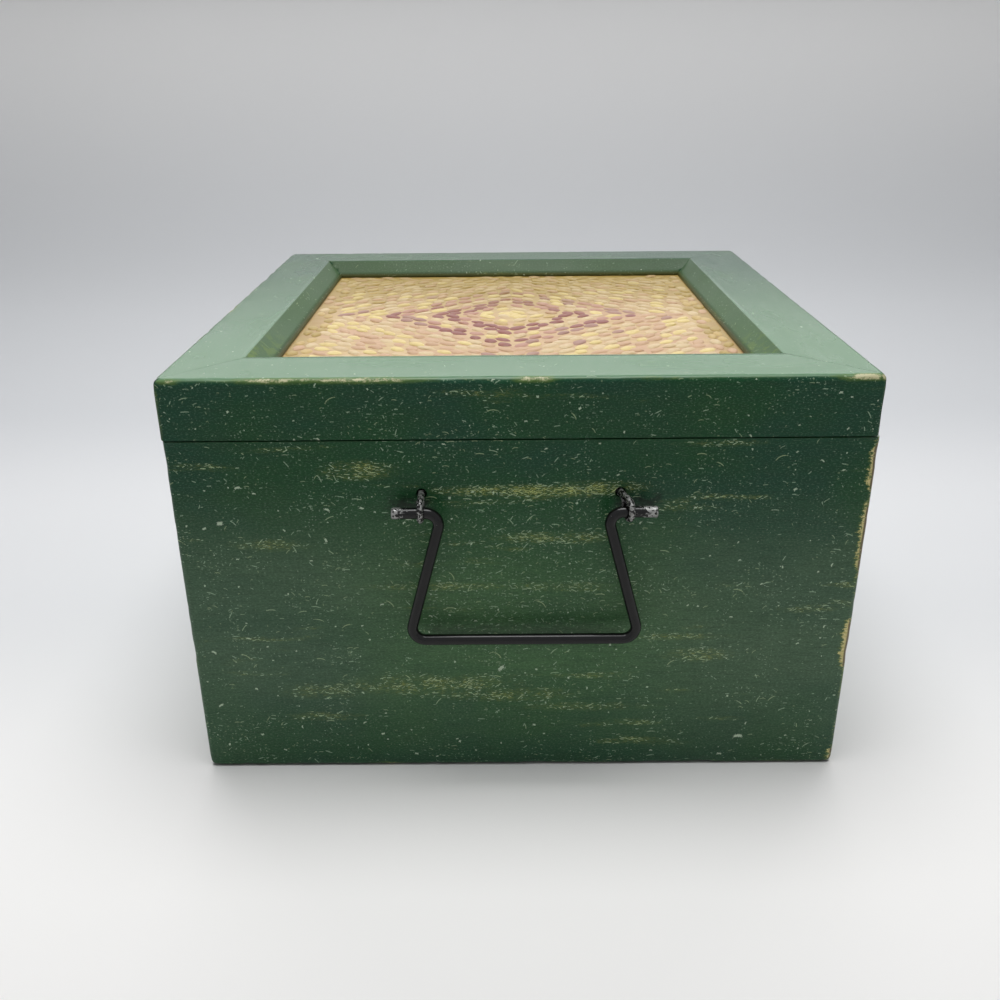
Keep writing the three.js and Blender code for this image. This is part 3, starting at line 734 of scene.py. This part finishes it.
PAINT_FRONT = green_paint("green_paint_front", "x", DRY_BRUSH_BANDS, SPATTER_ZONES, HANDLE_GRIME_AND_SHADOWS)
PAINT_X = green_paint("green_paint_x", "x")
PAINT_Y = green_paint("green_paint_y", "y")
WIRE = black_wire("black_wire", False)
PIN_WIRE = black_wire("black_wire_chipped", True)
BRASS = metal("aged_brass", BRASS_PALE, BRASS_DARK, 0.3)
STEEL = metal("steel", STEEL_PALE, STEEL_DARK, 0.28)
FINISHES = {
    "floor_board": bare_board("bare_board", "y"),
    "lid_backing": hardboard("hardboard"),
    "picture_board": picture_ground("picture_ground"),
}
PAINTS = {"front": PAINT_FRONT, "rear": PAINT_X, "left": PAINT_Y, "right": PAINT_Y}
for side_name, paint in PAINTS.items():
    FINISHES[f"{side_name}_wall"] = paint
    FINISHES[f"{side_name}_rail"] = paint
SLOT_FINISHES = {"black_wire": WIRE, "aged_brass": BRASS, "steel": STEEL}


def paint_nodes():
    """A finish for every CAD node, also for those that a finer piece replaces later."""
    slots = {part["node"]: part["material_slot"] for part in frame["record"]["subparts"]}
    for name, node in frame["nodes"].items():
        finish = FINISHES.get(name) or SLOT_FINISHES[slots[name]]
        node.data.materials.clear()
        node.data.materials.append(PIN_WIRE if "_pin_" in name else finish)


paint_nodes()


# Shapes, in millimetres until they become pieces

SHARP = math.radians(32)


def piece(name, mesh, materials, body, slot, *nodes):
    """A bmesh in millimetres as a named piece that rides on a body in place of the given nodes."""
    data = bpy.data.meshes.new(name)
    bmesh.ops.scale(mesh, vec=(MM, MM, MM), verts=mesh.verts)
    bmesh.ops.recalc_face_normals(mesh, faces=mesh.faces)
    mesh.to_mesh(data)
    mesh.free()
    for material in materials:
        data.materials.append(material)
    data.shade_smooth()
    data.set_sharp_from_angle(angle=SHARP)
    obj = linked(name, data)
    if nodes:
        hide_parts(*nodes)
    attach(obj, body)


def uneven(place, size, seed):
    """Noise from about -1 to 1 with features of the given size."""
    return noise.noise((place + Vector((seed * 31, seed * 53, seed * 71))) / size)


# Boards

RABBET_COVER = 6.9  # how far the lid's frame reaches over the picture's edge
OPENING_LOW = Vector((PICTURE_LOW.x + RABBET_COVER, PICTURE_LOW.y + RABBET_COVER))
OPENING_HIGH = Vector((PICTURE_HIGH.x - RABBET_COVER, PICTURE_HIGH.y - RABBET_COVER))
LID_LOW = Vector((box("left_rail")[0].x, RAIL_LOW.y))
LID_HIGH = Vector((box("right_rail")[1].x, box("rear_rail")[1].y))
HALF_GLUE_LINE = 0.07
BOARD_PITCH = 2.0  # how far apart the cuts are that let a board's face and edges wander
PICTURE_PITCH = 1.6
SLIVER = 0.02
HAND_WORKED = 3  # how far in from the outer faces a board is shaped


def sliced_copy(node, pitch):
    """A CAD node's mesh, cleaned of the seams between its triangles and cut into a grid."""
    mesh = bmesh.new()
    mesh.from_mesh(frame["nodes"][node].data)
    bmesh.ops.scale(mesh, vec=(1 / MM, 1 / MM, 1 / MM), verts=mesh.verts)
    bmesh.ops.remove_doubles(mesh, verts=mesh.verts, dist=SLIVER / 10)
    bmesh.ops.dissolve_limit(mesh, angle_limit=math.radians(0.5), verts=mesh.verts, edges=mesh.edges)
    low, high = box(node)
    for axis in range(3):
        normal = [0, 0, 0]
        normal[axis] = 1
        count = int((high[axis] - low[axis]) / pitch)
        for step in range(1, count):
            at = low.copy()
            at[axis] = low[axis] + (high[axis] - low[axis]) * step / count
            everything = mesh.verts[:] + mesh.edges[:] + mesh.faces[:]
            bmesh.ops.bisect_plane(mesh, geom=everything, dist=SLIVER / 10, plane_co=at, plane_no=normal)
    mesh.normal_update()
    return mesh


def knock(place):
    """How deep the outer edges are knocked and sanded down at a place."""
    side = HALF_WIDTH - abs(place.x)
    end = HALF_LENGTH - abs(place.y)
    distances = sorted((side, end, min(place.z, LID_TOP - place.z)))
    near_edge = max(0.0, 1 - (distances[0] + distances[1]) / 2.6)
    dent = max(0.0, uneven(place, 7, 1.3) - 0.18) * 1.1 + max(0.0, uneven(place, 2.2, 2.1) - 0.3) * 0.5
    corner = max(0.0, 1 - sum(distances) / 5.0) * 0.45
    return near_edge * dent + corner


def close_mitre(place):
    """The nearest place on the mitre for a corner of a cut end, so that paint covers the glue line."""
    flat = place.xy
    for outer_x, inner_x in ((LID_LOW.x, OPENING_LOW.x), (LID_HIGH.x, OPENING_HIGH.x)):
        for outer_y, inner_y in ((LID_LOW.y, OPENING_LOW.y), (LID_HIGH.y, OPENING_HIGH.y)):
            corner = Vector((outer_x, outer_y))
            inner = Vector((inner_x, inner_y))
            along = (inner - corner).normalized()
            nearest = corner + along * (flat - corner).dot(along)
            if abs((flat - nearest).length - HALF_GLUE_LINE) < SLIVER:
                return Vector((nearest.x, nearest.y, place.z))
    return place


def board(node, body):
    """A painted board with a hand-finished face: faint waves, and edges that are knocked in places."""
    mesh = sliced_copy(node, BOARD_PITCH)
    if body == "lid":
        for vert in mesh.verts:
            vert.co = close_mitre(vert.co)
    for vert in mesh.verts:
        place = vert.co
        outer = min(HALF_WIDTH - abs(place.x), HALF_LENGTH - abs(place.y), LID_TOP - place.z)
        if outer > HAND_WORKED:
            continue
        wave = 0.05 * (1 + uneven(place, 19, 4.2)) + 0.012 * (1 + uneven(place, 4, 5.1))
        vert.co += vert.normal * -(wave + knock(place))
    piece(f"{node}_painted", mesh, [FINISHES[node]], body, "green_paint", node)


# Wire

TURN_STEP = math.radians(5)
FEED_STEP = 2.5
WIRE_SIDES = 28
HALF_ROUND_SIDES = 12


class BentWire:
    """Wire bent flat on a bench: the places along its middle, and its heading at each."""

    def __init__(self, start, heading):
        self.places = [Vector(start)]
        self.headings = [heading]

    def left(self, heading):
        return Vector((-math.sin(heading), math.cos(heading)))

    def feed(self, length, step=FEED_STEP):
        heading = self.headings[-1]
        start = self.places[-1]
        along = Vector((math.cos(heading), math.sin(heading)))
        count = max(1, round(length / step))
        for index in range(1, count + 1):
            self.places.append(start + along * length * index / count)
            self.headings.append(heading)

    def turn(self, angle, radius):
        start = self.headings[-1]
        side = math.copysign(radius, angle)
        peg = self.places[-1] + self.left(start) * side
        count = math.ceil(abs(angle) / TURN_STEP)
        for index in range(1, count + 1):
            heading = start + angle * index / count
            self.places.append(peg - self.left(heading) * side)
            self.headings.append(heading)

    def drawn(self, section, radius, rounding):
        """The wire as a mesh, with a section in shares of its radius and ends rounded over a length."""
        lengths = [0.0]
        for before, after in zip(self.places, self.places[1:]):
            lengths.append(lengths[-1] + (after - before).length)
        mesh = bmesh.new()
        loops = []
        for length, place, heading in zip(lengths, self.places, self.headings):
            short = max(0.0, 1 - min(length, lengths[-1] - length) / rounding)
            size = radius - rounding * (1 - math.sqrt(1 - short * short))
            loop = []
            for across, rise in section:
                flat = place + self.left(heading) * across * size
                loop.append(mesh.verts.new((flat.x, flat.y, rise * size)))
            loops.append(loop)
        for before, after in zip(loops, loops[1:]):
            for index in range(len(section)):
                following = (index + 1) % len(section)
                mesh.faces.new((before[index], before[following], after[following], after[index]))
        mesh.faces.new(loops[0])
        mesh.faces.new(loops[-1])
        return mesh


def arc_section(count, apart):
    """Points on a circle of radius 1, the first at the bottom and the next ones to the left of the path."""
    return [(math.cos(corner * apart - math.pi / 2), math.sin(corner * apart - math.pi / 2))
            for corner in range(count)]


def at_end(side):
    """The turn that brings what is made for the front end to the given end."""
    return Matrix.Rotation(math.pi if side == "rear" else 0, 4, "Z")


SHOULDER_REACH = 24.8
LEG_SPLAY = 11.8
SHOULDER_BEND = 3.9
BAR_BEND = 4.2
WIRE_ROUNDING = 0.45
HANDLE_DROP = HANDLE_HIGH.z - HANDLE_LOW.z - 2 * WIRE_RADIUS
CORNER_TURN = math.pi / 2 + math.atan2(LEG_SPLAY, HANDLE_DROP)
SHOULDER_TAKEN = SHOULDER_BEND * math.tan(CORNER_TURN / 2)
BAR_TAKEN = BAR_BEND * math.tan(CORNER_TURN / 2)


def handle(side):
    tip = TIP_REACH - SHOULDER_REACH - SHOULDER_TAKEN - WIRE_ROUNDING
    leg = math.hypot(LEG_SPLAY, HANDLE_DROP) - SHOULDER_TAKEN - BAR_TAKEN
    bar = 2 * (SHOULDER_REACH + LEG_SPLAY - BAR_TAKEN)
    path = BentWire((-TIP_REACH, 0), 0)
    path.feed(WIRE_ROUNDING, WIRE_ROUNDING / 5)
    shoulder = (-CORNER_TURN, SHOULDER_BEND)
    corner = (CORNER_TURN, BAR_BEND)
    for length, bend in ((tip, shoulder), (leg, corner), (bar, corner), (leg, shoulder)):
        path.feed(length)
        path.turn(*bend)
    path.feed(tip)
    path.feed(WIRE_ROUNDING, WIRE_ROUNDING / 5)
    mesh = path.drawn(arc_section(WIRE_SIDES, math.tau / WIRE_SIDES), WIRE_RADIUS, WIRE_ROUNDING)
    # The wire is a little hammered, so that its highlight wanders.
    for vert in mesh.verts:
        vert.co.z *= 1 - 0.012 * (1 + uneven(vert.co, 9, 6.0))
    middle = Vector((HANDLE_SHIFT, -HALF_LENGTH - PIVOT_STAND_OFF, PIVOT_HEIGHT))
    upright = Matrix.Translation(middle) @ Matrix.Rotation(math.pi / 2, 4, "X")
    bmesh.ops.transform(mesh, matrix=at_end(side) @ upright, verts=mesh.verts)
    piece(f"{side}_handle_wire", mesh, [WIRE], f"{side}_bail", "black_wire", f"{side}_handle")


PIN_RADIUS = 1.01
PIN_LEG_GAP = 0.5
PIN_BESIDE_BEND = 1.4
PIN_ROUNDING = 0.3
PIN_LEANS = {"left": 0, "right": math.radians(15)}
EYE_RADIUS = WIRE_RADIUS + 1.2
EYE_RISE = 0.9  # of the eye's middle above the pivot axis
EYE_NECK = 2
CLINCH_BEND = 1.85
CLINCH_LENGTH = 6
CLINCH_GAP = 0.3


def split_pin(side, hand):
    """A pin of half-round wire: a round eye outside, two legs through the wall, clinched inside."""
    lean = PIN_LEANS[hand]
    stretch = 1 / math.cos(lean)
    rise = EYE_RISE + EYE_RADIUS
    inside = -(WALL_THICKNESS + CLINCH_GAP + PIN_RADIUS) * stretch
    neck_turn = math.acos((EYE_NECK - EYE_RADIUS + PIN_LEG_GAP) / (EYE_NECK + EYE_RADIUS))
    neck_reach = (EYE_NECK + EYE_RADIUS) * math.sin(neck_turn)
    leg = PIVOT_STAND_OFF * stretch - inside - CLINCH_BEND
    path = BentWire((inside, rise + CLINCH_BEND + CLINCH_LENGTH), -math.pi / 2)
    path.feed(PIN_ROUNDING, PIN_ROUNDING / 4)
    path.feed(CLINCH_LENGTH - PIN_ROUNDING)
    path.turn(math.pi / 2, CLINCH_BEND)
    path.feed(leg)
    path.turn(-math.pi - neck_turn, EYE_RADIUS)
    path.turn(neck_turn, EYE_NECK)
    path.feed(leg - neck_reach)
    path.turn(math.pi / 2, CLINCH_BEND)
    path.feed(CLINCH_LENGTH - PIN_ROUNDING)
    path.feed(PIN_ROUNDING, PIN_ROUNDING / 4)
    section = arc_section(HALF_ROUND_SIDES + 1, math.pi / HALF_ROUND_SIDES)
    mesh = path.drawn(section, PIN_RADIUS, PIN_ROUNDING)
    toward = -1 if hand == "left" else 1
    reach = HANDLE_SHIFT + toward * (SHOULDER_REACH + SHOULDER_TAKEN + PIN_BESIDE_BEND)
    hole = Vector((reach - PIVOT_STAND_OFF * math.tan(lean), -HALF_LENGTH, PIVOT_HEIGHT))
    out_of_wall = Matrix.Rotation(lean - math.pi / 2, 4, "Z") @ Matrix.Rotation(math.pi / 2, 4, "X")
    placed = at_end(side) @ Matrix.Translation(hole) @ out_of_wall
    bmesh.ops.transform(mesh, matrix=placed, verts=mesh.verts)
    name = f"{side}_pin_{hand}"
    piece(f"{name}_wire", mesh, [PIN_WIRE], "box", "black_wire", name)


# Picture: a ground with brushed-on relief, and dabs of thick paint in diamonds inside each other

OPENING_MIDDLE = (OPENING_LOW + OPENING_HIGH) / 2
RING_STEP = 4.3
DAB_PITCH = 7.4
BORDER_ROWS = (2.6, 6.6)
BORDER_WIDTH = 8.8
DAB_POINTS = 14
DAB_RINGS = ((1.0, -0.3), (0.98, 0.1), (0.8, 0.66), (0.46, 0.94))  # shares of its size and height
DAB_SINK = 0.2  # of its foot below the ground
DIAMOND_COUNT = 34

PALETTE = {
    "cream": (srgb(202, 180, 138), srgb(190, 160, 120)),
    "yellow": (srgb(214, 194, 128), srgb(198, 172, 112)),
    "straw": (srgb(190, 162, 100), srgb(172, 142, 86)),
    "tan": (srgb(190, 154, 120), srgb(178, 142, 106)),
    "rose": (srgb(166, 118, 100), srgb(182, 142, 118)),
    "burgundy": (srgb(126, 70, 62), srgb(148, 94, 80)),
    "mauve": (srgb(150, 110, 98), srgb(170, 136, 116)),
    "ochre": (srgb(168, 142, 72), srgb(152, 126, 66)),
}
COLOURS = list(PALETTE)

# How the colours are dealt out in each diamond, by the reach of its sides from the middle.
DIAMONDS = (
    (9, {"yellow": 3, "cream": 2}),
    (13, {"straw": 2, "tan": 2, "rose": 1}),
    (24, {"burgundy": 5, "rose": 3, "cream": 1}),
    (28, {"cream": 3, "yellow": 2}),
    (38, {"rose": 3, "burgundy": 3, "mauve": 2, "yellow": 2}),
    (46, {"cream": 4, "yellow": 2, "tan": 3}),
    (51, {"mauve": 1, "tan": 2, "cream": 2}),
    (200, {"cream": 4, "yellow": 3, "tan": 3}),
)
REAR_COLOURS = {"straw": 4, "ochre": 3, "tan": 2, "cream": 1}
BORDER_COLOURS = {"ochre": 3, "straw": 3, "tan": 2, "cream": 1}


def picture_ground_board():
    mesh = sliced_copy("picture_board", PICTURE_PITCH)
    for vert in mesh.verts:
        if vert.co.z > PICTURE_HIGH.z - SLIVER:
            flat = Vector((vert.co.x * 0.6, vert.co.y, 0))
            vert.co.z -= 0.16 * (1 + uneven(flat, 5, 7.1)) + 0.06 * (1 + uneven(flat, 2.1, 8.3))
    ground = FINISHES["picture_board"]
    piece("picture_ground", mesh, [ground], "lid", "picture_paint", "picture_board")


def dab(mesh, middle, heading, length, width, height, colour):
    """A raised dab with pointed ends, whose foot is sunk in the ground."""
    along = Vector((math.cos(heading), math.sin(heading)))
    across = Vector((-along.y, along.x))
    loops = []
    for size, rise in DAB_RINGS:
        loop = []
        for index in range(DAB_POINTS):
            angle = math.tau * index / DAB_POINTS
            swell = math.copysign(abs(math.sin(angle)) ** 1.25, math.sin(angle))
            flat = along * math.cos(angle) * length / 2 + across * swell * width / 2
            rough = 1 + 0.22 * uneven(Vector((flat.x, flat.y, middle.x + middle.y)), 2.4, 9.2)
            place = middle + flat * size * rough
            loop.append(mesh.verts.new((place.x, place.y, PICTURE_HIGH.z - DAB_SINK + rise * height)))
        loops.append(loop)
    top = mesh.verts.new((middle.x, middle.y, PICTURE_HIGH.z - DAB_SINK + height))
    faces = [mesh.faces.new(loops[0][::-1])]
    for index in range(DAB_POINTS):
        following = (index + 1) % DAB_POINTS
        for before, after in zip(loops, loops[1:]):
            faces.append(mesh.faces.new((before[index], before[following], after[following], after[index])))
        faces.append(mesh.faces.new((loops[-1][index], loops[-1][following], top)))
    for face in faces:
        face.material_index = COLOURS.index(colour)


def side_rows(middle, turn, reach):
    """Places and headings along the four sides of a square with the given reach."""
    count = max(1, round(2 * reach / DAB_PITCH))
    for quarter in range(4):
        heading = turn + quarter * math.pi / 2
        along = Vector((math.cos(heading), math.sin(heading)))
        out = Vector((along.y, -along.x))
        for index in range(count):
            share = (index + 0.5) / count * 2 - 1
            yield middle + out * reach + along * share * reach, heading


def dab_places():
    """Each dab's place and heading, its diamond's reach, and whether it is in the border."""
    for ring in range(DIAMOND_COUNT):
        reach = max(0.4, ring) * RING_STEP
        for place, heading in side_rows(OPENING_MIDDLE, math.pi / 4, reach):
            yield place, heading, reach, False
    half = (OPENING_HIGH - OPENING_LOW) / 2
    for inset in BORDER_ROWS:
        for place, heading in side_rows(Vector((0, 0)), 0, half.x - inset):
            stretched = Vector((place.x, place.y * (half.y - inset) / (half.x - inset)))
            yield OPENING_MIDDLE + stretched, heading, 0, True


def picture_dabs():
    draw = random.Random(7)
    mesh = bmesh.new()
    for place, heading, reach, border in dab_places():
        place = place + Vector((draw.uniform(-0.9, 0.9), draw.uniform(-0.9, 0.9)))
        inset = min(*(place - OPENING_LOW), *(OPENING_HIGH - place))
        if inset < 2.2 or (not border and inset < BORDER_WIDTH):
            continue
        shares = BORDER_COLOURS
        if not border:
            shares = next(shares for most, shares in DIAMONDS if reach <= most)
            rear = (place.y - OPENING_MIDDLE.y) / (OPENING_HIGH.y - OPENING_MIDDLE.y)
            if draw.random() < (rear - 0.25) * 1.4 and reach > 38:
                shares = REAR_COLOURS
        colour = draw.choices(list(shares), shares.values())[0]
        length = draw.uniform(5.4, 8.2)
        if border:
            length = min(length, 6.4)
        turn = heading + draw.gauss(0, 0.16)
        dab(mesh, place, turn, length, draw.uniform(3.3, 4.5), draw.uniform(0.35, 0.65), colour)
    paints = [dab_paint(f"dab_{name}", *PALETTE[name]) for name in COLOURS]
    piece("picture_dabs", mesh, paints, "lid", "picture_paint")


for wall in ("front_wall", "rear_wall", "left_wall", "right_wall"):
    board(wall, "box")
for rail in ("front_rail", "rear_rail", "left_rail", "right_rail"):
    board(rail, "lid")
for end_side in ("front", "rear"):
    handle(end_side)
    for pin_hand in ("left", "right"):
        split_pin(end_side, pin_hand)
picture_ground_board()
picture_dabs()


# Stage

FLOOR_REACH = 7.0
BACKDROP_PLACE = 1.3
BACKDROP_RISE = 2.2
BACKDROP_BEND = 0.7
BEND_STEPS = 16
# Floor and backdrop colours, which vary as painted light and shade
FLOOR_NEAR = srgb(236, 235, 234)
FLOOR_UNDER = srgb(208, 209, 211)
FLOOR_BEHIND = srgb(192, 194, 197)
BACKDROP_PALE = srgb(232, 232, 232)
FAR_PALE = srgb(246, 248, 250)
SKY_PALE = (0.97, 0.98, 1.0, 1)


def seen_share(shade):
    """1 for rays that show a thing to the camera, also in gloss and through glass, and 0 for light."""
    rays = shade.node("LightPath").outputs
    return shade.most(rays["Is Camera Ray"], rays["Is Glossy Ray"], rays["Is Transmission Ray"])


def stage():
    """A pale floor that bends up into a backdrop, in metres."""
    profile = [(-FLOOR_REACH, 0.0), (BACKDROP_PLACE - BACKDROP_BEND, 0.0)]
    for step in range(1, BEND_STEPS + 1):
        angle = step / BEND_STEPS * math.pi / 2
        back = BACKDROP_PLACE - BACKDROP_BEND * (1 - math.sin(angle))
        profile.append((back, BACKDROP_BEND * (1 - math.cos(angle))))
    profile.append((BACKDROP_PLACE, BACKDROP_RISE))
    verts = [(x, y, z) for y, z in profile for x in (-FLOOR_REACH, FLOOR_REACH)]
    faces = [(2 * i, 2 * i + 1, 2 * i + 3, 2 * i + 2) for i in range(len(profile) - 1)]
    mesh = bpy.data.meshes.new("floor")
    mesh.from_pydata(verts, [], faces)
    mesh.shade_smooth()
    shade = new_shade("floor")
    x, y, z = shade.split(shade.place())
    # Painted light and shade: the floor is palest in front of the box, darker under and behind it, and
    # paler again up the backdrop.
    middle = shade.blend(shade.smooth(y, -170, 20), FLOOR_NEAR, FLOOR_UNDER)
    far = shade.blend(shade.smooth(y, 100, 300), middle, FLOOR_BEHIND)
    # Where the lamps don't reach, the floor is seen pale without lighting anything.
    away = shade.most(shade.less(-300, y), shade.less(shade.size(x), 900))
    shade.set(
        Base_Color=shade.blend(shade.smooth(z, 0, 300), far, BACKDROP_PALE),
        Roughness=0.8,
        Emission_Color=FAR_PALE,
        Emission_Strength=shade.times(seen_share(shade), shade.smooth(away, 0, 1200, 0.0, 0.55)),
    )
    mesh.materials.append(shade.owner)
    linked("floor", mesh)


def lamp(name, place, target, width, height, radiance, spread=180):
    """A softbox in metres. A radiance of 1 is the screen's white, and its spread is in degrees."""
    data = bpy.data.lights.new(name, "AREA")
    data.shape = "RECTANGLE"
    data.size = width
    data.size_y = height
    data.energy = radiance * math.pi * width * height
    data.spread = math.radians(spread)
    light = linked(name, data)
    light.location = place
    light.rotation_euler = (Vector(target) - Vector(place)).to_track_quat("-Z", "Y").to_euler()


def world(strength, seen):
    """A pale room that is seen and reflected brighter than it lights."""
    sky = Shade(bpy.data.worlds.new("world"), "Background")
    bpy.context.scene.world = sky.owner
    sky.set(Color=SKY_PALE, Strength=sky.smooth(seen_share(sky), 0, 1, strength, seen))


stage()
lamp("overhead", (0, 0, 1.3), (0, 0, 0.07), 1.0, 0.8, 1.62, 80)
lamp("back_window", (0, 1.2, 0.95), (0, 0, 0.95), 2.4, 1.0, 1.45)
lamp("backdrop_wash", (0, 0.75, 1.5), (0, 1.2, 0.0), 2.4, 0.5, 1.15, 100)
world(0.16, 0.7)
bpy.context.scene.view_settings.view_transform = "Standard"
